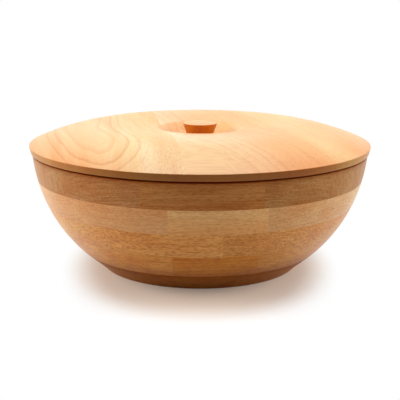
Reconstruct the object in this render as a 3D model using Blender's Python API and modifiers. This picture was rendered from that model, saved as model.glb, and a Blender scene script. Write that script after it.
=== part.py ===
"""Lidded wooden bowl, 300 mm across.

The bowl is turned from four glued courses of staves on a base of three boards, and the
domed lid from a panel of edge-glued boards. A flared knob stands in a hollow in the lid, and
a disc under the lid drops into the mouth of the bowl to keep the lid in place.

Metres, +Z up. The origin is the middle of the foot, on the surface that it stands on.
"""

import math

import bmesh
import bpy
from mathutils import Matrix

# Bowl: the wall sweeps from foot to rim along an ellipse whose centre lies just above the rim
BOWL_RADIUS = 0.1482
SWEEP_RADIUS = 0.1150
SWEEP_CENTRE_HEIGHT = 0.1156
FOOT_INSET = 0.0542
FOOT_TAPER = 0.0078
FOOT_HEIGHT = 0.0076
WALL = 0.0120
WALL_TOE = 0.0070

# Glued layers: the base carries three alike courses and a slightly thicker rim course
BASE_HEIGHT = 0.0162
COURSE_HEIGHT = 0.0213
RIM_COURSE_HEIGHT = 0.0222

# Glue lines between the rows of staves, front to back, as shares of the bowl's radius
ROW_SHARES = (-0.680, -0.226, 0.226, 0.680)

# Butt joints in the front and back rows, as shares of half the row's length
LOWER_FRONT_SHARES = (-0.30, 0.65)
MIDDLE_FRONT_SHARES = (0.20,)
UPPER_FRONT_SHARES = (-0.24, 0.52)
RIM_FRONT_SHARES = (-0.42, 0.46)
BACK_SHARE = 0.12

# Lid: the edge leans in a little as it goes down, in line with the wall below it
LID_OVERHANG = 0.0018
LID_EDGE_LEAN = 0.0012
LID_EDGE = 0.0068
LID_CROWN = 0.0196
CROWN_POWER = 3.6
DISH_RADIUS = 0.1050
DISH_DEPTH = 0.0083
HOLLOW_RADIUS = 0.0390
HOLLOW_DEPTH = 0.0087
HOLLOW_FLOOR_RADIUS = 0.0170
LID_TURN = math.radians(9.0)
DISC_THICKNESS = 0.0045

# Glue lines between the lid's boards, as shares of the lid's radius
LID_BOARD_SHARES = (-0.43, -0.22, 0.13, 0.44, 0.73)

# Knob and the screw that holds it from below
KNOB_TOP_RADIUS = 0.0152
KNOB_NECK_RADIUS = 0.0110
KNOB_HEIGHT = 0.0141
KNOB_EDGE_ROUND = 0.0012
KNOB_CROWN = 0.0005
FLARE_POWER = 1.25
TENON_RADIUS = 0.0070
PILOT_DEPTH = 0.0150
SCREW_RADIUS = 0.0020
SCREW_HEAD_RADIUS = 0.0042
SCREW_HEAD_HEIGHT = 0.0024
SCREW_TIP = 0.0030

# Clearances, and how far an uncut board stands out of the turned outline
GLUE_GAP = 0.0003
SEAT_GAP = 0.0003
DISC_PLAY = 0.0015
FIT_GAP = 0.0003
TURNING_WASTE = 0.0060

# Facets of the turned shapes
BOWL_STEPS = 60
KNOB_STEPS = 40
SCREW_STEPS = 24
WALL_SEGMENTS = 3
CROWN_SEGMENTS = 10
HOLLOW_SEGMENTS = 8
FLARE_SEGMENTS = 5
ROUND_SEGMENTS = 3

# Colours of the oiled hardwood and of the steel
RIM_COLOUR = (0.30, 0.135, 0.045)
UPPER_COLOUR = (0.42, 0.205, 0.082)
MIDDLE_COLOUR = (0.38, 0.165, 0.058)
LOWER_COLOUR = (0.34, 0.130, 0.038)
BASE_COLOUR = (0.26, 0.095, 0.028)
LID_COLOUR = (0.80, 0.50, 0.25)
KNOB_COLOUR = (0.62, 0.27, 0.075)
STEEL_COLOUR = (0.55, 0.55, 0.57)
STAVE_TINTS = (1.0, 0.90, 1.08, 0.95)

# Radii and levels that follow from the sizes above
FOOT_RADIUS = BOWL_RADIUS - FOOT_INSET
FOOT_BASE_RADIUS = FOOT_RADIUS - FOOT_TAPER
LID_RADIUS = BOWL_RADIUS + LID_OVERHANG
LID_LOWER_RADIUS = LID_RADIUS - LID_EDGE_LEAN
RIM_Z = BASE_HEIGHT + 3 * COURSE_HEIGHT + RIM_COURSE_HEIGHT
SEAT_Z = RIM_Z + SEAT_GAP
LID_EDGE_Z = SEAT_Z + LID_EDGE
DISC_TOP_Z = SEAT_Z - GLUE_GAP
DISC_BOTTOM_Z = DISC_TOP_Z - DISC_THICKNESS


def sweep_radius(z, half_width, half_height):
    """Radius of the wall's elliptical sweep at height z."""
    axis_offset = BOWL_RADIUS - SWEEP_RADIUS
    height_share = (SWEEP_CENTRE_HEIGHT - z) / half_height
    return axis_offset + half_width * math.sqrt(1.0 - height_share ** 2)


def outer_radius(z):
    """Outside of the wall: the ellipse passes through the crease above the foot."""
    foot_share = (FOOT_RADIUS - BOWL_RADIUS + SWEEP_RADIUS) / SWEEP_RADIUS
    half_height = (SWEEP_CENTRE_HEIGHT - FOOT_HEIGHT) / math.sqrt(1.0 - foot_share ** 2)
    return sweep_radius(z, SWEEP_RADIUS, half_height)


def inner_radius(z):
    """Inside of the wall, which meets the flat floor at a blunt corner."""
    half_height = SWEEP_CENTRE_HEIGHT - BASE_HEIGHT + WALL_TOE
    return sweep_radius(z, SWEEP_RADIUS - WALL, half_height)


def lid_top(r):
    """Height of the lid's top: a dome with a shallow dish, and a hollow with a level floor in it."""
    crown = LID_CROWN * (1.0 - (r / LID_RADIUS) ** CROWN_POWER)
    dish = DISH_DEPTH * (1.0 - min(1.0, r / DISH_RADIUS) ** 2) ** 2
    side_share = (r - HOLLOW_FLOOR_RADIUS) / (HOLLOW_RADIUS - HOLLOW_FLOOR_RADIUS)
    side_share = min(1.0, max(0.0, side_share))
    return LID_EDGE_Z + crown - dish - HOLLOW_DEPTH * (1.0 - side_share ** 2) ** 2


HOLLOW_FLOOR_Z = lid_top(0.0)
KNOB_BASE_Z = HOLLOW_FLOOR_Z + FIT_GAP


def spaced(start, end, segments):
    """Evenly spaced values from start to end, both included."""
    return [start + (end - start) * i / segments for i in range(segments + 1)]


def new_collection(name):
    """A collection linked to the scene."""
    collection = bpy.data.collections.new(name)
    bpy.context.scene.collection.children.link(collection)
    return collection


def finish(name, colour, roughness, metallic=0.0):
    """A plain Principled material."""
    material = bpy.data.materials.new(name)
    material.use_nodes = True
    shader = material.node_tree.nodes["Principled BSDF"]
    shader.inputs["Base Color"].default_value = (*colour, 1.0)
    shader.inputs["Roughness"].default_value = roughness
    shader.inputs["Metallic"].default_value = metallic
    return material


def tinted(colour, index):
    """The colour of the index-th board of a course, each a little lighter or darker."""
    tint = STAVE_TINTS[index % len(STAVE_TINTS)]
    return tuple(min(1.0, channel * tint) for channel in colour)


def turned(name, profile, steps, collection, closed):
    """A shape turned about Z. The profile runs down its outer side; a closed one rings the axis."""
    count = len(profile)
    edges = [(i, i + 1) for i in range(count - 1)]
    if closed:
        edges.append((count - 1, 0))
    mesh = bpy.data.meshes.new(name)
    mesh.from_pydata([(r, 0.0, z) for r, z in profile], edges, [])
    piece = bpy.data.objects.new(name, mesh)
    collection.objects.link(piece)
    screw = piece.modifiers.new("Turn", "SCREW")
    screw.axis = "Z"
    screw.steps = steps
    screw.render_steps = steps
    screw.use_merge_vertices = True
    screw.merge_threshold = 0.00001
    return piece


def guide(piece):
    """Marks a shape that others are cut from, and that isn't itself part of the bowl."""
    piece.hide_render = True
    piece.display_type = "WIRE"
    return piece


def cut_board(name, blank, x_span, y_span, z_span, material, turn=0.0):
    """A straight board, its box turned about Z, cut to the turned outline of its blank."""
    size = [span[1] - span[0] for span in (x_span, y_span, z_span)]
    middle = [(span[0] + span[1]) / 2 for span in (x_span, y_span, z_span)]
    box = bmesh.new()
    bmesh.ops.create_cube(box, size=1.0, matrix=Matrix.Diagonal((*size, 1.0)))
    bmesh.ops.translate(box, vec=middle, verts=box.verts)
    mesh = bpy.data.meshes.new(name)
    box.to_mesh(mesh)
    box.free()
    mesh.materials.append(material)
    board = bpy.data.objects.new(name, mesh)
    board.rotation_euler.z = turn
    bowl_parts.objects.link(board)
    cut = board.modifiers.new("Turned outline", "BOOLEAN")
    cut.operation = "INTERSECT"
    cut.object = blank
    return board


def strips(joints, reach):
    """Spans from -reach to reach, split at the joints and drawn in by half a glue gap."""
    limits = [-reach - TURNING_WASTE, *joints, reach + TURNING_WASTE]
    return [(low + GLUE_GAP / 2, high - GLUE_GAP / 2) for low, high in zip(limits, limits[1:])]


def side_names(count):
    """Names of the staves of one row, from left to right."""
    return ("left", "right") if count == 2 else ("left", "middle", "right")


for old in list(bpy.data.objects):
    bpy.data.objects.remove(old, do_unlink=True)

bowl_parts = new_collection("lidded_wooden_bowl")
guides = new_collection("guides")


# Base: three boards under the floor, with the foot turned on their underside
base_top = BASE_HEIGHT - GLUE_GAP / 2
base_profile = [(0.0, base_top)]
base_profile += [(outer_radius(z), z) for z in spaced(base_top, FOOT_HEIGHT, WALL_SEGMENTS)]
base_profile += [(FOOT_BASE_RADIUS, 0.0), (0.0, 0.0)]
base_blank = guide(turned("base_blank", base_profile, BOWL_STEPS, guides, closed=False))
base_reach = outer_radius(base_top)
row_joints = [share * BOWL_RADIUS for share in ROW_SHARES]
base_rows = zip(("fore", "centre", "aft"), strips(row_joints[1:-1], base_reach))
for index, (row, row_span) in enumerate(base_rows):
    cut_board(
        f"base_{row}_board",
        base_blank,
        (-base_reach - TURNING_WASTE, base_reach + TURNING_WASTE),
        row_span,
        (-TURNING_WASTE, base_top + TURNING_WASTE),
        finish(f"base_{row}_wood", tinted(BASE_COLOUR, index), 0.5),
    )


# Courses: rows of staves along X, butt-jointed end to end, turned as one ring
COURSES = (
    ("lower", COURSE_HEIGHT, LOWER_FRONT_SHARES, LOWER_COLOUR),
    ("middle", COURSE_HEIGHT, MIDDLE_FRONT_SHARES, MIDDLE_COLOUR),
    ("upper", COURSE_HEIGHT, UPPER_FRONT_SHARES, UPPER_COLOUR),
    ("rim", RIM_COURSE_HEIGHT, RIM_FRONT_SHARES, RIM_COLOUR),
)
ROW_NAMES = ("front", "fore", "centre", "aft", "back")
course_floor = BASE_HEIGHT
for level, (course, height, front_shares, colour) in enumerate(COURSES):
    bottom = course_floor + GLUE_GAP / 2
    course_floor += height
    top = course_floor if course == "rim" else course_floor - GLUE_GAP / 2
    ring_profile = [(outer_radius(z), z) for z in spaced(top, bottom, WALL_SEGMENTS)]
    ring_profile += [(inner_radius(z), z) for z in spaced(bottom, top, WALL_SEGMENTS)]
    ring_blank = guide(turned(f"{course}_blank", ring_profile, BOWL_STEPS, guides, closed=True))
    reach = outer_radius(top)
    back_share = BACK_SHARE if level % 2 else -BACK_SHARE
    row_shares = (front_shares, (0.0,), (0.0,), (0.0,), (back_share,))
    stave_count = 0
    for row, row_span, shares in zip(ROW_NAMES, strips(row_joints, reach), row_shares):
        half_length = math.sqrt(reach ** 2 - min(abs(edge) for edge in row_span) ** 2)
        staves = strips([share * half_length for share in shares], half_length)
        for side, stave_span in zip(side_names(len(staves)), staves):
            cut_board(
                f"{course}_{row}_{side}_stave",
                ring_blank,
                stave_span,
                row_span,
                (bottom - TURNING_WASTE, top + TURNING_WASTE),
                finish(f"{course}_{row}_{side}_wood", tinted(colour, stave_count), 0.5),
            )
            stave_count += 1


# Lid: an empty on the bowl's axis carries every piece that lifts off with it
lid_lift = bpy.data.objects.new("lid_lift", None)
bowl_parts.objects.link(lid_lift)
bore_radius = TENON_RADIUS + FIT_GAP
hollow_radii = spaced(HOLLOW_FLOOR_RADIUS, HOLLOW_RADIUS, HOLLOW_SEGMENTS)
crown_radii = spaced(HOLLOW_RADIUS, LID_RADIUS, CROWN_SEGMENTS)
lid_profile = [(bore_radius, HOLLOW_FLOOR_Z)]
lid_profile += [(r, lid_top(r)) for r in hollow_radii + crown_radii[1:]]
lid_profile += [(LID_LOWER_RADIUS, SEAT_Z), (bore_radius, SEAT_Z)]
lid_blank = guide(turned("lid_blank", lid_profile, BOWL_STEPS, guides, closed=True))
lid_blank.parent = lid_lift
lid_crest_z = LID_EDGE_Z + LID_CROWN
lid_joints = [share * LID_RADIUS for share in LID_BOARD_SHARES]
for index, board_span in enumerate(strips(lid_joints, LID_RADIUS)):
    lid_board = cut_board(
        f"lid_board_{index + 1}",
        lid_blank,
        board_span,
        (-LID_RADIUS - TURNING_WASTE, LID_RADIUS + TURNING_WASTE),
        (SEAT_Z - TURNING_WASTE, lid_crest_z + TURNING_WASTE),
        finish(f"lid_wood_{index + 1}", tinted(LID_COLOUR, index), 0.45),
        turn=LID_TURN,
    )
    lid_board.parent = lid_lift


# Locating disc: glued under the lid, it drops into the mouth with a little play
disc_radius = inner_radius(DISC_BOTTOM_Z) - DISC_PLAY
screw_hole = SCREW_RADIUS + FIT_GAP
countersink = SCREW_HEAD_RADIUS + FIT_GAP
disc_profile = [
    (screw_hole, DISC_TOP_Z),
    (disc_radius, DISC_TOP_Z),
    (disc_radius, DISC_BOTTOM_Z),
    (countersink, DISC_BOTTOM_Z),
    (screw_hole, DISC_BOTTOM_Z + SCREW_HEAD_HEIGHT),
]
locating_disc = turned("lid_locating_disc", disc_profile, BOWL_STEPS, bowl_parts, closed=True)
locating_disc.data.materials.append(finish("disc_wood", LID_COLOUR, 0.55))
locating_disc.parent = lid_lift


# Knob: flared so that fingers can hook under it, with a tenon through the lid
knob_top = KNOB_BASE_Z + KNOB_HEIGHT
edge_z = knob_top - KNOB_CROWN - KNOB_EDGE_ROUND
pilot_radius = SCREW_RADIUS + FIT_GAP
tenon_bottom = DISC_TOP_Z + FIT_GAP + GLUE_GAP
knob_profile = [(0.0, knob_top)]
for turn in spaced(math.pi / 2, 0.0, ROUND_SEGMENTS):
    edge_r = KNOB_TOP_RADIUS - KNOB_EDGE_ROUND * (1.0 - math.cos(turn))
    knob_profile.append((edge_r, edge_z + KNOB_EDGE_ROUND * math.sin(turn)))
for share in spaced(1.0, 0.0, FLARE_SEGMENTS)[1:]:
    flare = (KNOB_TOP_RADIUS - KNOB_NECK_RADIUS) * share ** FLARE_POWER
    knob_profile.append((KNOB_NECK_RADIUS + flare, KNOB_BASE_Z + (edge_z - KNOB_BASE_Z) * share))
knob_profile += [
    (TENON_RADIUS, KNOB_BASE_Z),
    (TENON_RADIUS, tenon_bottom),
    (pilot_radius, tenon_bottom),
    (pilot_radius, tenon_bottom + PILOT_DEPTH),
    (0.0, tenon_bottom + PILOT_DEPTH),
]
knob = turned("lid_knob", knob_profile, KNOB_STEPS, bowl_parts, closed=False)
knob.data.materials.append(finish("knob_wood", KNOB_COLOUR, 0.45))
knob.parent = lid_lift


# Knob screw: countersunk in the disc, driven up into the knob
screw_top = tenon_bottom + PILOT_DEPTH - FIT_GAP
head_face = DISC_BOTTOM_Z
screw_profile = [
    (0.0, screw_top),
    (SCREW_RADIUS, screw_top - SCREW_TIP),
    (SCREW_RADIUS, head_face + SCREW_HEAD_HEIGHT),
    (SCREW_HEAD_RADIUS, head_face),
    (0.0, head_face),
]
knob_screw = turned("knob_screw", screw_profile, SCREW_STEPS, bowl_parts, closed=False)
knob_screw.data.materials.append(finish("screw_steel", STEEL_COLOUR, 0.35, metallic=1.0))
knob_screw.parent = lid_lift
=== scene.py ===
"""Looks of the lidded wooden bowl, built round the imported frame. Metres, +Z up."""

import math

import bmesh
import bpy
import numpy as np
from mathutils import Matrix, Vector


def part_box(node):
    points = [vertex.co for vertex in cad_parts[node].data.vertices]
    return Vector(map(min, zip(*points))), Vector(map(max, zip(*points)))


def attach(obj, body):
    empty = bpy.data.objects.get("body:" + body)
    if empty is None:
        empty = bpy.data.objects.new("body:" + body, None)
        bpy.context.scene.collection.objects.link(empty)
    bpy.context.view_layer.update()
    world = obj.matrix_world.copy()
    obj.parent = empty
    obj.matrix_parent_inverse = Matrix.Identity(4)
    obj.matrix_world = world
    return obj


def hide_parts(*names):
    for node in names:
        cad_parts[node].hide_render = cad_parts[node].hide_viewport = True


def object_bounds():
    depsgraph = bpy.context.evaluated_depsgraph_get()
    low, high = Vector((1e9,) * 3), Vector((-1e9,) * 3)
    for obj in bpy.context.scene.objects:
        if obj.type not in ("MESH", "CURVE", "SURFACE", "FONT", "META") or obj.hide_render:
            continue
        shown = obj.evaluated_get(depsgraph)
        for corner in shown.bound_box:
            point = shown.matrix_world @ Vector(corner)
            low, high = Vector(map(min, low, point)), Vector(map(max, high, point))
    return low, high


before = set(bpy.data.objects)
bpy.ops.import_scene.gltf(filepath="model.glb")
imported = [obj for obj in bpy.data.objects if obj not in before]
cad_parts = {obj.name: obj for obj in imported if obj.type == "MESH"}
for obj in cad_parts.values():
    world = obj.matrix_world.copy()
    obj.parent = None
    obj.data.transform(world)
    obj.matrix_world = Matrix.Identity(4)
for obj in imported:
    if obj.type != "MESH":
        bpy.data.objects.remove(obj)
cad_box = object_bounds()


# Base: three boards of rubberwood, edge-glued, then turned on the lathe with a low foot left
# standing on their underside. They carry the courses and are the floor inside the bowl.
BOWL_RADIUS = 0.1482
SWEEP_RADIUS = 0.1150
SWEEP_CENTRE_Z = 0.1156
FOOT_RADIUS = 0.0940
FOOT_BASE_RADIUS = 0.0862
FOOT_HEIGHT = 0.0076
FOOT_EASE = 0.0008
CREASE_FILLET = 0.0012
RIM_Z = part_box("rim_front_left_stave")[1].z
RIM_EASE = 0.0009
SWEEP_AXIS = BOWL_RADIUS - SWEEP_RADIUS
FOOT_SHARE = (FOOT_RADIUS - SWEEP_AXIS) / SWEEP_RADIUS
SWEEP_HALF_HEIGHT = (SWEEP_CENTRE_Z - FOOT_HEIGHT) / math.sqrt(1.0 - FOOT_SHARE**2)
RING_SPACING = 0.003
MERGE_DISTANCE = 2e-6
TONE_STEP = 2e-5
SHARP_ANGLE = math.radians(35.0)
STAVE_RINGS = 0.40
SLANT_LAYERS = (0.0, 0.7, 0.7)
# Painted shade: the outside of the base is coloured much darker than its own inner floor, standing in
# for the shade under the bowl's curve, down to the foot.
BASE_PAINTED_SHADES = ("#AC610B", "#AA5F0A", "#AE630C")
FOOT_PAINTED_SHADE = "#C07F37"
INNER_WOOD = "#E6AC68"
BASE_SATIN = 0.02
BASE_PITH_SPREAD = 0.05
BASE_PITH_Z = -0.035
BASE_DRIFT = 0.03
BASE_DIP = 0.02
LOG_LENGTH = 4.0
WALL = 0.0120
WALL_TOE = 0.0070


def linear(code):
    """Linear RGB of an sRGB hex colour."""
    srgb = np.array([int(code[i : i + 2], 16) for i in (1, 3, 5)]) / 255.0
    return np.where(srgb <= 0.04045, srgb / 12.92, ((srgb + 0.055) / 1.055) ** 2.4)


def rgba(code):
    """The same colour with full alpha, as a socket takes it."""
    return (*linear(code), 1.0)


def add(tree, kind, inputs=None, **settings):
    """Adds a node: settings are its properties, inputs give each socket a value or a feeding output."""
    node = tree.nodes.new(kind)
    for key, value in settings.items():
        setattr(node, key, value)
    for socket, value in (inputs or {}).items():
        if isinstance(value, bpy.types.NodeSocket):
            tree.links.new(value, node.inputs[socket])
        else:
            node.inputs[socket].default_value = value
    return node


# Oiled rubberwood, turned and sanded: a pale straw wood with soft pinkish growth rings, fine
# fibre streaks and short dark pores along the grain, and a low satin gloss from the oil.
# Pores are 0.2 mm wide on the real wood and are drawn 0.8 mm wide, so that they show.
WOOD_SPOTS = {
    "waver": (0.110, 0.024, 0.024, 2.0),
    "blush": (0.160, 0.030, 0.016, 2.0),
    "fibre": (0.060, 0.008, 0.0013, 4.0),
    "pores": (0.0045, 0.0014, 0.0008, 2.0),
}
FIRST_RING = 491.5
RING_BAND = ((0.28, 0.05), (0.42, 0.30), (0.52, 0.12), (0.86, 1.0), (0.97, 0.0))
DARK_YEARS = (0.35, 1.0)
FAINT_RING = 0.08
PORE_SPAN = (0.44, 0.70)
BLUSH_SPAN = (0.35, 0.65)
FIBRE_SPAN = (0.30, 0.70)
END_SPAN = (0.45, 0.95)
ROUGHNESS = (0.28, 0.38)
RELIEF_STRENGTH = 0.12
RELIEF_HEIGHT = 0.0003
WOOD_IOR = 1.46
LATE_WOOD = "#E6BC98"
PORE_WOOD = "#C49468"
BLUSH_WOOD = "#F8E4D0"
END_WOOD = "#B8A286"
FIBRE_WOOD = "#DCC2A4"


def rubberwood(
    name, ring_width, fibre_depth, pore_strength, end_strength=0.2, end_axis=(1, 0, 0), satin=0.25
):
    """Oiled rubberwood whose patterns follow each board's own log, kept in its grain attribute.

    Growth rings are bands of the distance from the pith, one per ring width, wavering a little and
    as dark as the alpha of the board's colour. Fibres, pores and blush are noise drawn out along
    the grain, and end grain is darker.
    """
    material = bpy.data.materials.new(name)
    material.use_nodes = True
    tree = material.node_tree
    shader = tree.nodes["Principled BSDF"]
    grain = add(tree, "ShaderNodeAttribute", attribute_name="grain").outputs["Vector"]
    wood = add(tree, "ShaderNodeAttribute", attribute_name="wood")

    spots = {}
    for spot, (along, across, through, detail) in WOOD_SPOTS.items():
        scale = (1.0 / along, 1.0 / across, 1.0 / through)
        drawn = add(tree, "ShaderNodeVectorMath", {0: grain, 1: scale}, operation="MULTIPLY")
        noise = {"Vector": drawn.outputs[0], "Scale": 1.0, "Detail": detail}
        spots[spot] = add(tree, "ShaderNodeTexNoise", noise).outputs[0]

    from_pith = add(tree, "ShaderNodeVectorMath", {0: grain, 1: (0, 1, 1)}, operation="MULTIPLY")
    radius = add(tree, "ShaderNodeVectorMath", {0: from_pith.outputs[0]}, operation="LENGTH")
    first = add(tree, "ShaderNodeMath", {0: spots["waver"], 1: FIRST_RING}, operation="ADD")
    rings = add(
        tree,
        "ShaderNodeMath",
        {0: radius.outputs["Value"], 1: 1.0 / ring_width, 2: first.outputs[0]},
        operation="MULTIPLY_ADD",
    )
    share = add(tree, "ShaderNodeMath", {0: rings.outputs[0]}, operation="FRACT")
    count = add(tree, "ShaderNodeMath", {0: rings.outputs[0]}, operation="FLOOR")
    season = add(tree, "ShaderNodeTexWhiteNoise", {"W": count.outputs[0]}, noise_dimensions="1D")
    band = add(tree, "ShaderNodeValToRGB", {0: share.outputs[0]})
    band.color_ramp.interpolation = "EASE"
    for position, level in RING_BAND:
        stop = band.color_ramp.elements.new(position)
        stop.color = (level, level, level, 1.0)
    band.color_ramp.elements[0].color = (0, 0, 0, 1)
    band.color_ramp.elements[-1].color = (0, 0, 0, 1)
    facing = add(
        tree,
        "ShaderNodeVectorMath",
        {0: add(tree, "ShaderNodeTexCoord").outputs["Normal"], 1: end_axis},
        operation="DOT_PRODUCT",
    )
    square_on = add(tree, "ShaderNodeMath", {0: facing.outputs["Value"]}, operation="ABSOLUTE")

    amounts = {}
    for pattern, value, span, ends in (
        ("year", season.outputs["Value"], DARK_YEARS, (FAINT_RING, wood.outputs["Alpha"])),
        ("pores", spots["pores"], PORE_SPAN, (0.0, pore_strength)),
        ("blush", spots["blush"], BLUSH_SPAN, (0.0, 1.0)),
        ("fibre", spots["fibre"], FIBRE_SPAN, (fibre_depth, 0.0)),
        ("end", square_on.outputs[0], END_SPAN, (0.0, end_strength)),
        ("roughness", spots["fibre"], FIBRE_SPAN, ROUGHNESS),
    ):
        sockets = {0: value, 1: span[0], 2: span[1], 3: ends[0], 4: ends[1]}
        amounts[pattern] = add(tree, "ShaderNodeMapRange", sockets).outputs[0]
    late = add(tree, "ShaderNodeMath", {0: band.outputs[0], 1: amounts["year"]}, operation="MULTIPLY")

    multiply = {"data_type": "RGBA", "blend_type": "MULTIPLY"}
    colour = wood.outputs["Color"]
    for amount, tint in (
        (amounts["blush"], BLUSH_WOOD),
        (late.outputs[0], LATE_WOOD),
        (amounts["pores"], PORE_WOOD),
        (amounts["fibre"], FIBRE_WOOD),
        (amounts["end"], END_WOOD),
    ):
        stained = add(tree, "ShaderNodeMix", {0: amount, 6: colour, 7: rgba(tint)}, **multiply)
        colour = stained.outputs[2]
    relief = add(
        tree,
        "ShaderNodeMath",
        {0: amounts["pores"], 1: -1.0, 2: spots["fibre"]},
        operation="MULTIPLY_ADD",
    )
    bump = add(
        tree,
        "ShaderNodeBump",
        {"Strength": RELIEF_STRENGTH, "Distance": RELIEF_HEIGHT, "Height": relief.outputs[0]},
    )
    tree.links.new(colour, shader.inputs["Base Color"])
    tree.links.new(amounts["roughness"], shader.inputs["Roughness"])
    tree.links.new(bump.outputs[0], shader.inputs["Normal"])
    shader.inputs["IOR"].default_value = WOOD_IOR
    shader.inputs["Specular IOR Level"].default_value = satin
    return material


def closed_mesh(name, points, quads):
    """A mesh with points that fall together merged, its faces turned outwards and its arrises kept."""
    mesh = bpy.data.meshes.new(name)
    mesh.from_pydata(points.reshape(-1, 3).tolist(), [], quads.reshape(-1, 4).tolist())
    shell = bmesh.new()
    shell.from_mesh(mesh)
    bmesh.ops.remove_doubles(shell, verts=shell.verts, dist=MERGE_DISTANCE)
    bmesh.ops.recalc_face_normals(shell, faces=shell.faces)
    shell.to_mesh(mesh)
    shell.free()
    mesh.shade_smooth()
    mesh.set_sharp_from_angle(angle=SHARP_ANGLE)
    return mesh


def cells(index):
    """The quads between neighbouring rows and columns of a grid of point numbers."""
    corners = [index[:-1, :-1], index[1:, :-1], index[1:, 1:], index[:-1, 1:]]
    return np.stack(corners, axis=-1).reshape(-1, 4)


def thick_sheet(name, face, back):
    """A closed block between two grids: quads over both, and a strip of quads round their border.

    Where the border runs out and back on the plane y = 0 the grids close on themselves, without a strip.
    """
    rows, columns = face.shape[:2]
    index = np.arange(rows * columns).reshape(rows, columns)
    border = np.concatenate([index[0, :-1], index[:-1, -1], index[-1, :0:-1], index[:0:-1, 0]])
    ahead = np.roll(border, -1)
    strip = np.stack([border, ahead, ahead + index.size, border + index.size], axis=-1)
    points = np.stack([face, back]).reshape(-1, 3)
    folded = np.all(np.abs(points[strip, 1]) < MERGE_DISTANCE, axis=1)
    quads = np.concatenate([cells(index), cells(index)[:, ::-1] + index.size, strip[~folded]])
    return closed_mesh(name, points, quads)


def mesh_points(mesh):
    """The mesh's points as rows of x, y and z."""
    points = np.empty(3 * len(mesh.vertices))
    mesh.vertices.foreach_get("co", points)
    return points.reshape(-1, 3)


def shades(distance, places, codes):
    """Colours at those distances, running evenly from the shade at one place to the next."""
    channels = np.array([linear(code) for code in codes]).T
    return np.stack([np.interp(distance, places, channel) for channel in channels], axis=-1)


def straight_log(points, along, layers, pith, start):
    """Points measured from a straight pith: along the grain, across it, and through the fibre layers.

    The layers lie square to the given direction.
    """
    along = np.array(along) / np.linalg.norm(along)
    across = np.cross(layers, along)
    across /= np.linalg.norm(across)
    log_axes = np.stack([along, across, np.cross(along, across)], axis=1)
    return (points - pith) @ log_axes + (start, 0.0, 0.0)


def lay_grain(mesh, colour, rings, log):
    """Writes a board's colour, how dark its rings are, and where its points lie in its log."""
    mesh.attributes.new("grain", "FLOAT_VECTOR", "POINT").data.foreach_set("vector", log.ravel())
    tint = np.full((len(log), 4), rings)
    tint[:, :3] = colour
    mesh.attributes.new("wood", "FLOAT_COLOR", "POINT").data.foreach_set("color", tint.ravel())


def place(mesh, body, node, material):
    """Puts a finished piece in the scene: it moves with its body and stands for its CAD node."""
    mesh.materials.append(material)
    piece = bpy.data.objects.new(mesh.name, mesh)
    bpy.context.scene.collection.objects.link(piece)
    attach(piece, body)
    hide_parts(node)


def quarter(distance, ease):
    """How far a quarter-round edge has drawn in, for distances from its start to its end."""
    share = np.clip(distance / ease, 0.0, 1.0)
    return ease * (1.0 - np.sqrt(1.0 - share**2))


def bowl_outside(z):
    """Outer radius: an elliptical sweep that meets the tapered foot in a small fillet, edges eased."""
    sweep = SWEEP_AXIS + SWEEP_RADIUS * np.sqrt(1.0 - ((SWEEP_CENTRE_Z - z) / SWEEP_HALF_HEIGHT) ** 2)
    foot = FOOT_BASE_RADIUS + (FOOT_RADIUS - FOOT_BASE_RADIUS) * np.minimum(z / FOOT_HEIGHT, 1.0)
    radius = (sweep + foot + np.sqrt((sweep - foot) ** 2 + CREASE_FILLET**2)) / 2.0
    return radius - quarter(FOOT_EASE - z, FOOT_EASE) - quarter(z - RIM_Z + RIM_EASE, RIM_EASE)


def middle_plane(low_node, high_node, axis):
    """Where two neighbours meet along an axis: halfway across the glue gap between their boxes."""
    return (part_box(low_node)[1][axis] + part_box(high_node)[0][axis]) / 2.0


def arc(start, end, radius, count):
    """Distances across a circle from start to end, at even angles, one row for each radius."""
    low, high = (np.arcsin(np.clip(edge / radius, -1.0, 1.0)) for edge in (start, end))
    return radius[:, None] * np.sin(np.linspace(low, high, count).T)


def turned_board(name, z, outside, inside, near, span, side):
    """A straight board of a turned ring or disc, between the heights z.

    It lies beyond the plane at the distance near from the axis, across the span, which is cut by
    the turned outline: depth = sqrt(radius^2 - across^2) outside, and the same inside or the plane.
    """
    reach = np.sqrt(np.maximum(outside**2 - near**2, 0.0))
    start, end = np.clip(span[0], -reach, reach), np.clip(span[1], -reach, reach)
    bore = np.sqrt(np.maximum(inside**2 - near**2, 0.0))
    stops = [start, np.clip(-bore, start, end), np.clip(bore, start, end), end]
    runs = []
    for low, high, radius in zip(stops, stops[1:], (outside, np.maximum(inside, near), outside)):
        length = np.max(high - low)
        if length > MERGE_DISTANCE:
            count = max(4, int(length / RING_SPACING) + 1)
            runs.append(arc(low, high, np.maximum(radius, MERGE_DISTANCE), count))
    across = np.concatenate(runs, axis=1)
    height = np.repeat(z[:, None], across.shape[1], axis=1)
    far = np.sqrt(np.maximum(outside[:, None] ** 2 - across**2, 0.0))
    close = np.maximum(near, np.sqrt(np.maximum(inside[:, None] ** 2 - across**2, 0.0)))
    far = np.maximum(far, close)
    sign = -1.0 if side in ("front", "left") else 1.0
    faces = [np.stack([across, sign * depth, height], axis=-1) for depth in (far, close)]
    if side in ("left", "right"):
        faces = [face[..., (1, 0, 2)] for face in faces]
    return thick_sheet(name, *faces)


logs = np.random.default_rng(11)
base_top = middle_plane("base_fore_board", "lower_fore_left_stave", 2)
BORE_HALF_HEIGHT = SWEEP_CENTRE_Z - base_top + WALL_TOE


def bowl_inside(z):
    """Inner radius: the sweep again, one wall thickness in, its top edge eased."""
    radius = SWEEP_AXIS + (SWEEP_RADIUS - WALL) * np.sqrt(
        1.0 - ((SWEEP_CENTRE_Z - z) / BORE_HALF_HEIGHT) ** 2
    )
    return radius + quarter(z - RIM_Z + RIM_EASE, RIM_EASE)


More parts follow.
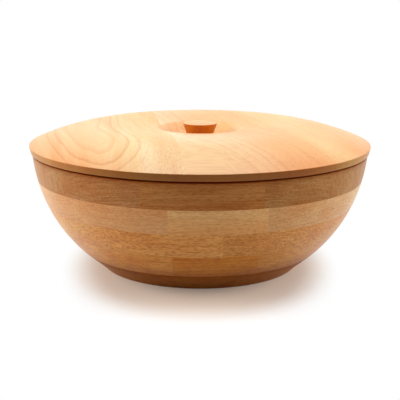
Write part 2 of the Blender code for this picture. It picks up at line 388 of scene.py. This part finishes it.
base_z = np.concatenate(
    [
        FOOT_EASE * (1.0 - np.cos(np.linspace(0.0, math.pi / 2, 5))),
        np.linspace(FOOT_EASE, FOOT_HEIGHT - 2 * CREASE_FILLET, 6)[1:],
        np.linspace(FOOT_HEIGHT - 2 * CREASE_FILLET, FOOT_HEIGHT + 2 * CREASE_FILLET, 9)[1:],
        np.linspace(FOOT_HEIGHT + 2 * CREASE_FILLET, base_top, 8)[1:],
    ]
)
inner_radius = float(bowl_inside(base_top))
base_radius = np.append(bowl_outside(base_z), [inner_radius + TONE_STEP, inner_radius])
base_z = np.append(base_z, [base_top, base_top])
base_rubberwood = rubberwood(
    "oiled_rubberwood_base", ring_width=0.0032, fibre_depth=0.8, pore_strength=0.4, satin=BASE_SATIN
)
row_near = middle_plane("base_centre_board", "base_aft_board", 1)
no_bore = np.zeros_like(base_z)
for row, code in zip(("fore", "centre", "aft"), BASE_PAINTED_SHADES):
    node = f"base_{row}_board"
    if row == "centre":
        chord = arc(np.full_like(base_z, -row_near), np.full_like(base_z, row_near), base_radius, 24)
        end = np.sqrt(base_radius[:, None] ** 2 - chord**2)
        height = np.repeat(base_z[:, None], chord.shape[1], axis=1)
        mesh = thick_sheet(
            f"{node}_wood",
            np.stack([-end, chord, height], axis=-1),
            np.stack([end, chord, height], axis=-1),
        )
    else:
        side = "front" if row == "fore" else "back"
        mesh = turned_board(
            f"{node}_wood", base_z, base_radius, no_bore, row_near, (-BOWL_RADIUS, BOWL_RADIUS), side
        )
    pith = (0.0, logs.uniform(-BASE_PITH_SPREAD, BASE_PITH_SPREAD), BASE_PITH_Z)
    along = (1.0, logs.uniform(-BASE_DRIFT, BASE_DRIFT), BASE_DIP)
    points = mesh_points(mesh)
    # Painted shade on the outside of the base; the inner floor below keeps the wood's own colour.
    colour = shades(points[:, 2], (FOOT_HEIGHT, base_top), (FOOT_PAINTED_SHADE, code))
    inner = np.hypot(points[:, 0], points[:, 1]) < inner_radius + TONE_STEP / 2
    colour[inner & (points[:, 2] > base_top - MERGE_DISTANCE)] = linear(INNER_WOOD)
    log = straight_log(points, along, SLANT_LAYERS, pith, logs.uniform(0.0, LOG_LENGTH))
    lay_grain(mesh, colour, STAVE_RINGS, log)
    place(mesh, "bowl", node, base_rubberwood)


# Courses: four rings of staves. Each ring has five rows of short boards, laid along X and
# butt-jointed end to end, glued up brick-fashion on the base, then turned inside and out as one
# wall.
STAVE_ROWS = 14
ROW_NAMES = ("front", "fore", "centre", "aft", "back")
FLAT_LAYERS = (0.0, 0.25, 0.97)
UPRIGHT_LAYERS = (0.0, 0.97, 0.25)
# Painted shade on the walls: darker at the foot of the lower course, and on the rim's top edge under the
# lid, where the shadow line falls.
WALL_SHADE_HEIGHTS = (base_top, base_top + 0.0100, RIM_Z - 0.0050, RIM_Z - 0.0020, RIM_Z)
WALL_PAINTED_SHADES = ("#DCC68E", "#FFFFFF", "#FFFFFF", "#EDE8DF", "#D6A466")
# Painted sheen: the staves pale towards the far left and right, standing in for the grazing reflection
# of the white room.
SIDE_PAINTED_SHEEN = (1.24, 1.54, 1.85)
SIDE_PAINTED_SHEEN_POWER = 4
FRONT_WOODS = {
    "lower": ("#F5B761", "#E8A544", "#EAAF5E"),
    "middle": ("#F5BB6C", "#E9AE5F"),
    "upper": ("#E7B076", "#F1C07F", "#E1B47B"),
    "rim": ("#C79665", "#C99054", "#BD8F5B"),
}
SIDE_WOODS = {
    "lower": ("#EEB065", "#ECAE61", "#F0B46B"),
    "middle": ("#EDB676", "#EBB472", "#EFBB7A"),
    "upper": ("#EABC88", "#E8BA84", "#ECBF8C"),
    "rim": ("#D0A274", "#CC9E6F", "#D4A87B"),
}
COURSE_FINISH = {
    "lower": {"fibre_depth": 0.9, "pore_strength": 0.55},
    "middle": {"fibre_depth": 0.7, "pore_strength": 0.85},
    "upper": {"fibre_depth": 0.4, "pore_strength": 0.45},
    "rim": {"fibre_depth": 0.8, "pore_strength": 0.5, "satin": 0.06},
}
STAVE_RING_WIDTH = 0.0030
STAVE_PITH_SPREAD = 0.03
STAVE_PITH_REACH = (0.05, 0.10)
STAVE_DRIFT = 0.05
STAVE_DIP = 0.04


def sweep_height(radius):
    """Height at which the outer sweep has that radius."""
    share = (radius - SWEEP_AXIS) / SWEEP_RADIUS
    return SWEEP_CENTRE_Z - SWEEP_HALF_HEIGHT * math.sqrt(1.0 - share**2)


courses = list(FRONT_WOODS)
levels = [base_top]
for below, above in zip(courses, courses[1:]):
    levels.append(middle_plane(f"{below}_front_left_stave", f"{above}_front_left_stave", 2))
levels.append(RIM_Z)
row_planes = [
    middle_plane(f"rim_{near_row}_left_stave", f"rim_{far_row}_left_stave", 1)
    for near_row, far_row in zip(ROW_NAMES, ROW_NAMES[1:])
]
row_centres = np.convolve([-BOWL_RADIUS, *row_planes, BOWL_RADIUS], (0.5, 0.5), mode="valid")
for course, bottom, top in zip(courses, levels, levels[1:]):
    finish = COURSE_FINISH[course]
    course_rubberwood = rubberwood(f"oiled_rubberwood_{course}", STAVE_RING_WIDTH, **finish)
    for row_number, row in enumerate(ROW_NAMES):
        staves = [
            name
            for name in ("left", "middle", "right")
            if f"{course}_{row}_{name}_stave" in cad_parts
        ]
        joints = [
            middle_plane(f"{course}_{row}_{a}_stave", f"{course}_{row}_{b}_stave", 0)
            for a, b in zip(staves, staves[1:])
        ]
        limits = [-BOWL_RADIUS, *joints, BOWL_RADIUS]
        for stave_number, stave in enumerate(staves):
            node = f"{course}_{row}_{stave}_stave"
            low, high = limits[stave_number], limits[stave_number + 1]
            first = bottom
            if row in ("front", "back"):
                side, near, span = row, abs(row_planes[0]), (low, high)
                inner_end = max(low, -high, 0.0)
                first = max(bottom, sweep_height(math.hypot(near, inner_end)))
            else:
                side, near = stave, 0.0
                span = (row_planes[row_number - 1], row_planes[row_number])
            z = np.linspace(first, top, STAVE_ROWS)
            if course == "rim":
                rounding = RIM_Z - RIM_EASE * (1.0 - np.sin(np.linspace(0.0, math.pi / 2, 6)))
                z = np.concatenate([np.linspace(first, RIM_Z - RIM_EASE, 2 * STAVE_ROWS)[:-1], rounding])
            mesh = turned_board(f"{node}_wood", z, bowl_outside(z), bowl_inside(z), near, span, side)
            side_woods = SIDE_WOODS[course]
            wood = side_woods[(row_number + stave_number) % len(side_woods)]
            if row == "front":
                wood = FRONT_WOODS[course][stave_number]
            elif row == "fore":
                wood = FRONT_WOODS[course][-stave_number]
            pith = (
                0.0,
                row_centres[row_number] + logs.uniform(-STAVE_PITH_SPREAD, STAVE_PITH_SPREAD),
                (bottom + top) / 2 + logs.choice((-1, 1)) * logs.uniform(*STAVE_PITH_REACH),
            )
            drift = logs.uniform(-STAVE_DRIFT, STAVE_DRIFT)
            along = (1.0, drift, logs.uniform(-STAVE_DIP, STAVE_DIP))
            layers = UPRIGHT_LAYERS if course == "rim" and row != "front" else FLAT_LAYERS
            points = mesh_points(mesh)
            log = straight_log(points, along, layers, pith, logs.uniform(0.0, LOG_LENGTH))
            # Painted shade by height, then painted sheen towards the far sides.
            colour = linear(wood) * shades(points[:, 2], WALL_SHADE_HEIGHTS, WALL_PAINTED_SHADES)
            side_sheen_share = (points[:, :1] / BOWL_RADIUS) ** SIDE_PAINTED_SHEEN_POWER
            colour *= 1.0 + (np.array(SIDE_PAINTED_SHEEN) - 1.0) * side_sheen_share
            lay_grain(mesh, colour, STAVE_RINGS, log)
            place(mesh, "bowl", node, course_rubberwood)


# Lid: a panel of six edge-glued boards, their grain running front to back and turned a little,
# domed on the lathe with a finger hollow in the middle. A shallow rebate under its edge leaves a
# dark shadow line above the rim. The bore for the knob's tenon is out of sight and isn't drawn.
LID_RADIUS = cad_box[1].x
LID_UNDERCUT = 0.0012
LID_LOWER_RADIUS = LID_RADIUS - LID_UNDERCUT
LID_SEAT_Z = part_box("lid_board_3")[0].z
LID_EDGE_HEIGHT = 0.0068
LID_EDGE_Z = LID_SEAT_Z + LID_EDGE_HEIGHT
LID_CROWN = 0.0196
CROWN_POWER = 3.6
DISH_RADIUS = 0.1050
DISH_DEPTH = 0.0083
HOLLOW_RADIUS = 0.0390
HOLLOW_DEPTH = 0.0087
HOLLOW_FLOOR_RADIUS = 0.0170
LID_EASE = 0.0007
SHADOW_GAP = 0.0011
SHADOW_GAP_DEPTH = 0.0040
LIP_EASE = 0.0003
LID_TURN = math.radians(9.0)
LID_JOINTS = (-0.0645, -0.0330, 0.0195, 0.0660, 0.1095)
LOOPED_BOARDS = 2
LOOP_PITH_ACROSS = (-0.563, -0.0603, -0.12821)
LOOP_PITH_UP = (-0.88, -0.011, 0.17633)
LOOP_RINGS = 0.65
LOOP_PLACES = (-0.140, -0.105, -0.070, -0.036)
LOOP_WOODS = ("#EAC993", "#EABE86", "#EAD4A1", "#EACF9A")
SLOPE = 0.15
SLOPE_BEND_START = 0.055
SLOPE_BEND_EDGE = 0.030
SLOPE_BEND = 0.32
SLOPE_STRETCH = 0.25
SLOPE_PITH = 0.4
SLOPE_RINGS = 0.32
SLOPE_PLACES = (-0.060, -0.030, 0.010, 0.045, 0.064, 0.110)
SLOPE_WOODS = ("#EAD3A1", "#EACDA0", "#EABC86", "#EABD82", "#EACB92", "#EAC388")
KEPT_GREY = "#E1E1E1"
# Painted shade: the lid's top turns darker and peachier towards its edge, where the dome slopes away
# from the light above.
LID_EDGE_PAINTED_SHADE = "#F6E0D7"
LID_EDGE_SHADE_POWER = 6
PALE_BOARD = 2
PALE_PLACES = (-0.100, -0.070)
PALE_SHADES = ("#E1E6F0", "#E1D9CC")
HOLLOW_LIP = 0.003
# Painted light and shade in the finger hollow: darker on its left flank, paler on its right.
HOLLOW_PLACES = (-0.030, 0.000, 0.036)
HOLLOW_PAINTED_SHADING = ("#E1CEC2", "#E1E7EA", "#E1EEF5")
# Painted shade on the lid's side: deeper and more golden than the lit top, changing from left to right.
LID_SIDE_PLACES = (-1.0, -0.4, 0.0, 0.4, 1.0)
LID_SIDE_PAINTED_SHADE = ("#D9D09F", "#E2C279", "#FBDA7C", "#F0DD82", "#E1DB93")
# Painted shade on the faces of the rebate under the lid's edge, deepening the shadow line above the rim.
REBATE_PAINTED_SHADE = "#DC9A4E"
LID_PORES = (0.15, 0.30, 0.20, 0.15, 0.15, 0.15)
LID_FIBRES = 0.18
LID_RING_WIDTH = 0.00227
LID_COLUMN = 0.0018


def hollow_share(r):
    """1 on the level floor of the hollow, falling smoothly to 0 at its edge: (1 - share^2)^2."""
    share = np.clip((r - HOLLOW_FLOOR_RADIUS) / (HOLLOW_RADIUS - HOLLOW_FLOOR_RADIUS), 0.0, 1.0)
    return (1.0 - share**2) ** 2


def lid_height(r):
    """Height of the lid's top: a dome with a shallow dish, and a hollow with a level floor in it."""
    crown = LID_CROWN * (1.0 - (r / LID_RADIUS) ** CROWN_POWER)
    dish = DISH_DEPTH * (1.0 - np.minimum(r / DISH_RADIUS, 1.0) ** 2) ** 2
    return LID_EDGE_Z + crown - dish - HOLLOW_DEPTH * hollow_share(r)


HOLLOW_FLOOR_Z = float(lid_height(0.0))

round_turns = np.linspace(0.0, math.pi / 2, 4)
edge_top = float(lid_height(LID_RADIUS - LID_EASE))
lid_seat_radius = LID_LOWER_RADIUS - SHADOW_GAP_DEPTH
edge_radius = np.concatenate(
    [
        [lid_seat_radius, lid_seat_radius],
        LID_LOWER_RADIUS - LIP_EASE * (1.0 - np.sin(round_turns)),
        LID_RADIUS - LID_EASE * (1.0 - np.cos(round_turns)),
    ]
)
edge_z = np.concatenate(
    [
        [LID_SEAT_Z, LID_SEAT_Z + SHADOW_GAP],
        LID_SEAT_Z + SHADOW_GAP + LIP_EASE * (1.0 - np.cos(round_turns)),
        edge_top - LID_EASE * (1.0 - np.sin(round_turns)),
    ]
)
top_radius = np.concatenate(
    [
        np.linspace(LID_RADIUS - LID_EASE, HOLLOW_RADIUS, 44)[1:],
        np.linspace(HOLLOW_RADIUS, HOLLOW_FLOOR_RADIUS, 24)[1:],
        np.linspace(HOLLOW_FLOOR_RADIUS, 0.0, 4)[1:],
    ]
)


def lid_board(name, low, high):
    """A lid board between two joints: rows follow circles of the turned lid, at even angles.

    A point lies at (across, -+sqrt(radius^2 - across^2)), its height from the turned profile.
    """
    count = int((high - low) / LID_COLUMN) + 2
    edge_x = arc(low, high, edge_radius, count)
    edge_y = np.sqrt(np.maximum(edge_radius[:, None] ** 2 - edge_x**2, 0.0))
    edge_height = np.repeat(edge_z[:, None], count, axis=1)
    joint_rows = np.minimum(np.abs([low, high]), top_radius[0])
    top_r = np.sort(np.append(top_radius, joint_rows))[::-1]
    top_r = np.maximum(top_r, max(low, -high, MERGE_DISTANCE))
    top_x = arc(low, high, top_r, count)
    top_y = np.sqrt(np.maximum(top_r[:, None] ** 2 - top_x**2, 0.0))
    top_height = np.repeat(lid_height(top_r)[:, None], count, axis=1)
    x = np.concatenate([edge_x, top_x])
    y = np.concatenate([edge_y, top_y])
    z = np.concatenate([edge_height, top_height])
    face = np.concatenate([np.stack([x, -y, z], axis=-1), np.stack([x, y, z], axis=-1)[::-1]])
    back_x = np.clip(face[..., 0], -lid_seat_radius, lid_seat_radius)
    back_reach = np.sqrt(lid_seat_radius**2 - back_x**2)
    back_y = np.clip(face[..., 1], -back_reach, back_reach)
    back = np.stack([back_x, back_y, np.full_like(back_x, LID_SEAT_Z)], axis=-1)
    mesh = thick_sheet(name, face, back)
    mesh.transform(Matrix.Rotation(LID_TURN, 4, "Z"))
    return mesh


def looped_log(across, along, up):
    """Points by a crooked pith high above the board, whose rings come out as loops open to the back.

    The pith's place across and its height are quadratics of the distance along the board.
    """
    through = across - np.polyval(LOOP_PITH_ACROSS, along)
    return np.stack([along, up - np.polyval(LOOP_PITH_UP, along), through], axis=-1)


def sloping_layers(across, along):
    """Which layer of slanting grain a point lies in: lines that veer to the side near the front.

    A line starts at across + slope * along, less a veer that grows from the second joint to its right.
    """
    veer = np.clip((across - LID_JOINTS[1]) / SLOPE_BEND_EDGE, 0.0, 1.0)
    bend = SLOPE_BEND * np.maximum(-along - SLOPE_BEND_START, 0.0)
    return across + SLOPE * along - bend * veer


def tints(distance, places, codes):
    """How far the wood pales or deepens at those distances: the kept grey leaves it as it is."""
    return shades(distance, places, codes) / linear(KEPT_GREY)


def lid_tint(points):
    """How the lid's colour shifts: painted shade towards its edge, on its side and in the rebate, and
    painted light and shade in the hollow.
    """
    tint = np.ones((len(points), 3))
    reach = np.hypot(points[:, 0], points[:, 1])[:, None]
    hollow = np.clip((HOLLOW_RADIUS - reach) / HOLLOW_LIP, 0.0, 1.0)
    hollow_light_and_shade = tints(points[:, 0], HOLLOW_PLACES, HOLLOW_PAINTED_SHADING)
    edge_shade = np.minimum(reach / LID_RADIUS, 1.0) ** LID_EDGE_SHADE_POWER
    side = np.clip((edge_top - points[:, 2:]) / LID_EASE, 0.0, 1.0)
    side_shade = shades(points[:, 0] / LID_RADIUS, LID_SIDE_PLACES, LID_SIDE_PAINTED_SHADE)
    rebate = np.clip((LID_SEAT_Z + SHADOW_GAP + LIP_EASE - points[:, 2:]) / LIP_EASE, 0.0, 1.0)
    for amount, wood in (
        (edge_shade, linear(LID_EDGE_PAINTED_SHADE)),
        (hollow, hollow_light_and_shade),
        (side, side_shade),
        (rebate, linear(REBATE_PAINTED_SHADE)),
    ):
        tint = tint * (1.0 + (wood - 1.0) * amount)
    return tint


lid_along = (-math.sin(LID_TURN), math.cos(LID_TURN), 0.0)
lid_limits = [-LID_RADIUS, *LID_JOINTS, LID_RADIUS]
for number in range(1, len(lid_limits)):
    node = f"lid_board_{number}"
    mesh = lid_board(f"{node}_wood", *lid_limits[number - 1 : number + 1])
    points = mesh_points(mesh)
    across = points[:, 0] * math.cos(LID_TURN) + points[:, 1] * math.sin(LID_TURN)
    along = points[:, 1] * math.cos(LID_TURN) - points[:, 0] * math.sin(LID_TURN)
    up = points[:, 2] - LID_EDGE_Z
    if number <= LOOPED_BOARDS:
        colour = shades(across, LOOP_PLACES, LOOP_WOODS)
        rings, log = LOOP_RINGS, looped_log(across, along, up)
    else:
        layer = sloping_layers(across, along)
        colour = shades(layer, SLOPE_PLACES, SLOPE_WOODS)
        rings, log = SLOPE_RINGS, np.stack([along, up, SLOPE_STRETCH * layer + SLOPE_PITH], axis=-1)
    if number == PALE_BOARD:
        colour *= tints(along, PALE_PLACES, PALE_SHADES)
    lay_grain(mesh, colour * lid_tint(points), rings, log)
    board_rubberwood = rubberwood(
        f"oiled_rubberwood_{node}",
        LID_RING_WIDTH,
        LID_FIBRES,
        LID_PORES[number - 1],
        end_strength=1.0,
        end_axis=lid_along,
    )
    place(mesh, "lid", node, board_rubberwood)


# Locating disc: a thin turned disc of the same wood, glued under the lid. It drops into the
# mouth of the bowl and is countersunk in the middle for the screw that holds the knob.
DISC_LOW, DISC_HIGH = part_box("lid_locating_disc")
DISC_RADIUS = DISC_HIGH.x
DISC_EASE = 0.0008
SCREW_HOLE = 0.0023
COUNTERSINK = 0.0045
COUNTERSINK_DEPTH = 0.0024
DISC_WOOD = "#E3BA86"
DISC_GRAIN = (1.0, 0.12, 0.0)
DISC_PITH = (0.0, 0.03, 0.05)
DISC_LOG_START = 2.6
DISC_STEPS = 160


def circles(radius, height, steps):
    """Points and quads of circles round the Z axis, one for each radius and height, ends doubled."""
    angle = np.linspace(0.0, 2.0 * math.pi, steps + 1)
    x = radius[:, None] * np.cos(angle)
    y = radius[:, None] * np.sin(angle)
    z = np.repeat(height[:, None], steps + 1, axis=1)
    index = np.arange(x.size).reshape(x.shape)
    return np.stack([x, y, z], axis=-1), cells(index)


def turned(name, radius, height, steps):
    """A profile of radii and heights carried once round the Z axis, closed on itself."""
    return closed_mesh(name, *circles(radius, height, steps))


ease_turns = np.linspace(0.0, math.pi / 2, 5)
disc_radius = np.concatenate(
    [
        [SCREW_HOLE, DISC_RADIUS],
        DISC_RADIUS - DISC_EASE * (1.0 - np.cos(ease_turns)),
        [COUNTERSINK, SCREW_HOLE, SCREW_HOLE],
    ]
)
disc_height = np.concatenate(
    [
        [LID_SEAT_Z, LID_SEAT_Z],
        DISC_LOW.z + DISC_EASE * (1.0 - np.sin(ease_turns)),
        [DISC_LOW.z, DISC_LOW.z + COUNTERSINK_DEPTH, LID_SEAT_Z],
    ]
)
disc = turned("lid_locating_disc_wood", disc_radius, disc_height, DISC_STEPS)
disc_log = straight_log(mesh_points(disc), DISC_GRAIN, SLANT_LAYERS, DISC_PITH, DISC_LOG_START)
lay_grain(disc, linear(DISC_WOOD), STAVE_RINGS, disc_log)
disc_rubberwood = rubberwood(
    "oiled_rubberwood_disc", ring_width=0.0034, fibre_depth=0.6, pore_strength=0.4
)
place(disc, "lid", "lid_locating_disc", disc_rubberwood)


# Knob: turned from one block of the same wood, flared so that fingers hook under it, its tenon
# glued in the bore of the lid and drawn down by a screw from below.
KNOB_LOW, KNOB_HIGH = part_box("lid_knob")
KNOB_TOP_RADIUS = 0.0152
KNOB_NECK_RADIUS = 0.0110
KNOB_ROUND = 0.0004
KNOB_CROWN = 0.0001
FLARE_POWER = 1.25
TENON_RADIUS = 0.0070
PILOT_RADIUS = 0.0023
PILOT_DEPTH = 0.0150
KNOB_WOOD = "#EDBF84"
# Painted shade: the knob's side is a deep warm orange against its pale top, standing in for the shade
# and warm bounced light in the hollow.
KNOB_SIDE_PAINTED_SHADE = "#D27C18"
KNOB_GRAIN = (1.0, 0.2, 0.05)
KNOB_PITH = (0.0, 0.02, 0.09)
KNOB_LOG_START = 0.9
KNOB_STEPS = 96
knob_edge = KNOB_HIGH.z - KNOB_CROWN - KNOB_ROUND
crown_share = np.linspace(0.0, 1.0, 6)
knob_turns = np.linspace(0.0, math.pi / 2, 7)[1:]
flare_share = np.linspace(1.0, 0.0, 14)[1:]
pilot_top = KNOB_LOW.z + PILOT_DEPTH
knob_radius = np.concatenate(
    [
        crown_share * (KNOB_TOP_RADIUS - KNOB_ROUND),
        KNOB_TOP_RADIUS - KNOB_ROUND * (1.0 - np.sin(knob_turns)),
        KNOB_NECK_RADIUS + (KNOB_TOP_RADIUS - KNOB_NECK_RADIUS) * flare_share**FLARE_POWER,
        [TENON_RADIUS, TENON_RADIUS, PILOT_RADIUS, PILOT_RADIUS, 0.0],
    ]
)
knob_height = np.concatenate(
    [
        KNOB_HIGH.z - KNOB_CROWN * crown_share**2,
        knob_edge + KNOB_ROUND * np.cos(knob_turns),
        HOLLOW_FLOOR_Z + (knob_edge - HOLLOW_FLOOR_Z) * flare_share,
        [HOLLOW_FLOOR_Z, KNOB_LOW.z, KNOB_LOW.z, pilot_top, pilot_top],
    ]
)
knob = turned("lid_knob_wood", knob_radius, knob_height, KNOB_STEPS)
knob_points = mesh_points(knob)
# Painted shade on the knob's side, below its top edge.
knob_side_shade = np.clip((KNOB_HIGH.z - KNOB_CROWN - knob_points[:, 2:]) / KNOB_ROUND, 0.0, 1.0)
knob_colour = linear(KNOB_WOOD) + (linear(KNOB_SIDE_PAINTED_SHADE) - linear(KNOB_WOOD)) * knob_side_shade
knob_log = straight_log(knob_points, KNOB_GRAIN, SLANT_LAYERS, KNOB_PITH, KNOB_LOG_START)
lay_grain(knob, knob_colour, STAVE_RINGS, knob_log)
knob_rubberwood = rubberwood(
    "oiled_rubberwood_knob", ring_width=0.0028, fibre_depth=0.5, pore_strength=0.3
)
place(knob, "lid", "lid_knob", knob_rubberwood)


# Knob screw: a countersunk wood screw of zinc-plated steel, driven up through the disc and the
# lid into the knob. Only its head shows, from under the lid.
SCREW_LOW, SCREW_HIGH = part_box("knob_screw")
SCREW_RADIUS = 0.0020
SCREW_HEAD_RADIUS = 0.0042
SCREW_HEAD_EDGE = 0.0003
SCREW_TIP = 0.0030
SCREW_STEPS = 48
screw_profile = np.array(
    [
        (0.0, SCREW_HIGH.z),
        (SCREW_RADIUS, SCREW_HIGH.z - SCREW_TIP),
        (SCREW_RADIUS, SCREW_LOW.z + COUNTERSINK_DEPTH),
        (SCREW_HEAD_RADIUS, SCREW_LOW.z + SCREW_HEAD_EDGE),
        (SCREW_HEAD_RADIUS, SCREW_LOW.z),
        (0.0, SCREW_LOW.z),
    ]
)
screw = turned("knob_screw_steel", *screw_profile.T, SCREW_STEPS)

# Zinc-plated steel: a pale grey metal with a soft gloss, a small bright dot in the wood.
STEEL = "#B9BCC0"
STEEL_ROUGHNESS = 0.32
steel = bpy.data.materials.new("zinc_plated_steel")
steel.use_nodes = True
steel_shader = steel.node_tree.nodes["Principled BSDF"]
steel_shader.inputs["Base Color"].default_value = rgba(STEEL)
steel_shader.inputs["Metallic"].default_value = 1.0
steel_shader.inputs["Roughness"].default_value = STEEL_ROUGHNESS
place(screw, "lid", "knob_screw", steel)


# Stage: a white table in white surroundings, lit from a wide soft box above and a little behind,
# and from both sides. Past the bowl's shadow the table goes over into plain white. Its round
# opening is covered by the foot and lets the room's light reach the underside of the base.
FOOT_OVERLAP = 0.0001
UNDER_FOOT_RADIUS = FOOT_BASE_RADIUS - FOOT_EASE - FOOT_OVERLAP
FLOOR_RADII = (UNDER_FOOT_RADIUS, 0.3, 1.0, 4.0, 20.0)
FLOOR_STEPS = 64
SHADOW_CORE = 0.152
SHADOW_REACH = 0.225
SHADOW_SQUEEZE = (1.8, 1.0, 1.0)
WARM_CORE = 0.115
WARM_REACH = 0.180
WARM_SQUEEZE = (1.42, 1.0, 1.0)
WHITE = "#FFFFFF"
TABLE_LIT = "#C8C4C0"
# Painted shadow: a warm, darker tint on the table round the bowl, fading out to white.
TABLE_PAINTED_SHADOW = "#F6E7D6"
SHADOW_LIFT = 0.16
AMBIENT = 0.20


def seen_directly(tree):
    """1 for rays from the camera, or by way of gloss or glass, and 0 for light that falls on things."""
    path = add(tree, "ShaderNodeLightPath")
    seen = add(
        tree,
        "ShaderNodeMath",
        {0: path.outputs["Is Camera Ray"], 1: path.outputs["Is Glossy Ray"]},
        operation="MAXIMUM",
    )
    return add(
        tree,
        "ShaderNodeMath",
        {0: seen.outputs[0], 1: path.outputs["Is Transmission Ray"]},
        operation="MAXIMUM",
    ).outputs[0]


def table_fade(tree, squeeze, core, reach, start):
    """A fade from start at the core of a squeezed circle round the bowl to 1 at its reach."""
    on_table = add(tree, "ShaderNodeTexCoord").outputs["Object"]
    squeezed = add(tree, "ShaderNodeVectorMath", {0: on_table, 1: squeeze}, operation="MULTIPLY")
    distance = add(tree, "ShaderNodeVectorMath", {0: squeezed.outputs[0]}, operation="LENGTH")
    return add(
        tree,
        "ShaderNodeMapRange",
        {0: distance.outputs["Value"], 1: core, 2: reach, 3: start, 4: 1.0},
        interpolation_type="SMOOTHSTEP",
    )


floor_radius = np.array(FLOOR_RADII)
floor_points, floor_quads = circles(floor_radius, np.zeros_like(floor_radius), FLOOR_STEPS)
floor_mesh = bpy.data.meshes.new("white_table")
floor_mesh.from_pydata(floor_points.reshape(-1, 3).tolist(), [], floor_quads.tolist())
floor = bpy.data.objects.new("white_table", floor_mesh)
bpy.context.scene.collection.objects.link(floor)

# Table paper: matt white, with a painted warm, darker tint round the bowl over its soft shadow, which a
# faint glow lightens, and plain white past it. Seen from below it is clear, so that the underside of the
# bowl shows.
table_white = bpy.data.materials.new("white_table_paper")
table_white.use_nodes = True
tree = table_white.node_tree
tree.nodes.remove(tree.nodes["Principled BSDF"])
seen = seen_directly(tree)
far = table_fade(tree, SHADOW_SQUEEZE, SHADOW_CORE, SHADOW_REACH, SHADOW_LIFT)
cool = table_fade(tree, WARM_SQUEEZE, WARM_CORE, WARM_REACH, 0.0)
painted_warmth = add(
    tree,
    "ShaderNodeMix",
    {0: cool.outputs[0], 6: rgba(TABLE_PAINTED_SHADOW), 7: rgba(WHITE)},
    data_type="RGBA",
)
pale = add(
    tree,
    "ShaderNodeMix",
    {0: seen, 6: rgba(TABLE_LIT), 7: painted_warmth.outputs[2]},
    data_type="RGBA",
)
paper = add(tree, "ShaderNodeBsdfDiffuse", {"Color": pale.outputs[2]})
glow = add(tree, "ShaderNodeEmission", {"Color": painted_warmth.outputs[2], "Strength": 1.0})
white_out = add(tree, "ShaderNodeMath", {0: far.outputs[0], 1: seen}, operation="MULTIPLY")
surface = add(
    tree, "ShaderNodeMixShader", {0: white_out.outputs[0], 1: paper.outputs[0], 2: glow.outputs[0]}
)
below = add(
    tree,
    "ShaderNodeMixShader",
    {
        0: add(tree, "ShaderNodeNewGeometry").outputs["Backfacing"],
        1: surface.outputs[0],
        2: add(tree, "ShaderNodeBsdfTransparent").outputs[0],
    },
)
tree.links.new(below.outputs[0], tree.nodes["Material Output"].inputs["Surface"])
floor_mesh.materials.append(table_white)

world = bpy.data.worlds.new("white_room")
world.use_nodes = True
bpy.context.scene.world = world
tree = world.node_tree
light = add(tree, "ShaderNodeMapRange", {0: seen_directly(tree), 3: AMBIENT, 4: 1.0})
tree.nodes["Background"].inputs["Color"].default_value = rgba(WHITE)
tree.links.new(light.outputs[0], tree.nodes["Background"].inputs["Strength"])

# The side boxes are left out of reflections, where they would burn out the lid seen from the sides.
LAMP_AIM = Vector((0.0, 0.0, 0.08))
SOFT_BOXES = (
    ("soft_box_above", (0.0, 0.15, 1.40), 1.3, 17.5, True),
    ("soft_box_left", (-1.20, 0.04, 0.48), 0.9, 13.8, False),
    ("soft_box_right", (1.20, 0.04, 0.48), 0.9, 11.3, False),
)
for name, spot, width, power, reflected in SOFT_BOXES:
    lamp = bpy.data.lights.new(name, "AREA")
    lamp.shape = "DISK"
    lamp.size = width
    lamp.energy = power
    box = bpy.data.objects.new(name, lamp)
    bpy.context.scene.collection.objects.link(box)
    box.visible_glossy = reflected
    box.location = spot
    box.rotation_euler = (LAMP_AIM - Vector(spot)).to_track_quat("-Z", "Y").to_euler()


# Camera: the photograph's place, in front of the bowl and a little above its lid, looking
# slightly down through a long lens.
CAMERA_PLACE = (0.0002, -0.8770, 0.2560)
CAMERA_PITCH = math.radians(12.848)
CAMERA_ROLL = math.radians(0.208)
IMAGE_SIZE = 400.0
FOCAL_PIXELS = 997.36
SENSOR_WIDTH = 36.0
camera_data = bpy.data.cameras.new("camera")
camera_data.sensor_width = SENSOR_WIDTH
camera_data.lens = SENSOR_WIDTH * FOCAL_PIXELS / IMAGE_SIZE
camera = bpy.data.objects.new("camera", camera_data)
bpy.context.scene.collection.objects.link(camera)
camera.location = CAMERA_PLACE
camera.rotation_mode = "XYZ"
camera.rotation_euler = (math.pi / 2 - CAMERA_PITCH, 0.0, 0.0)
camera.rotation_euler.rotate_axis("Z", CAMERA_ROLL)
bpy.context.scene.camera = camera
bpy.context.scene.view_settings.view_transform = "Standard"
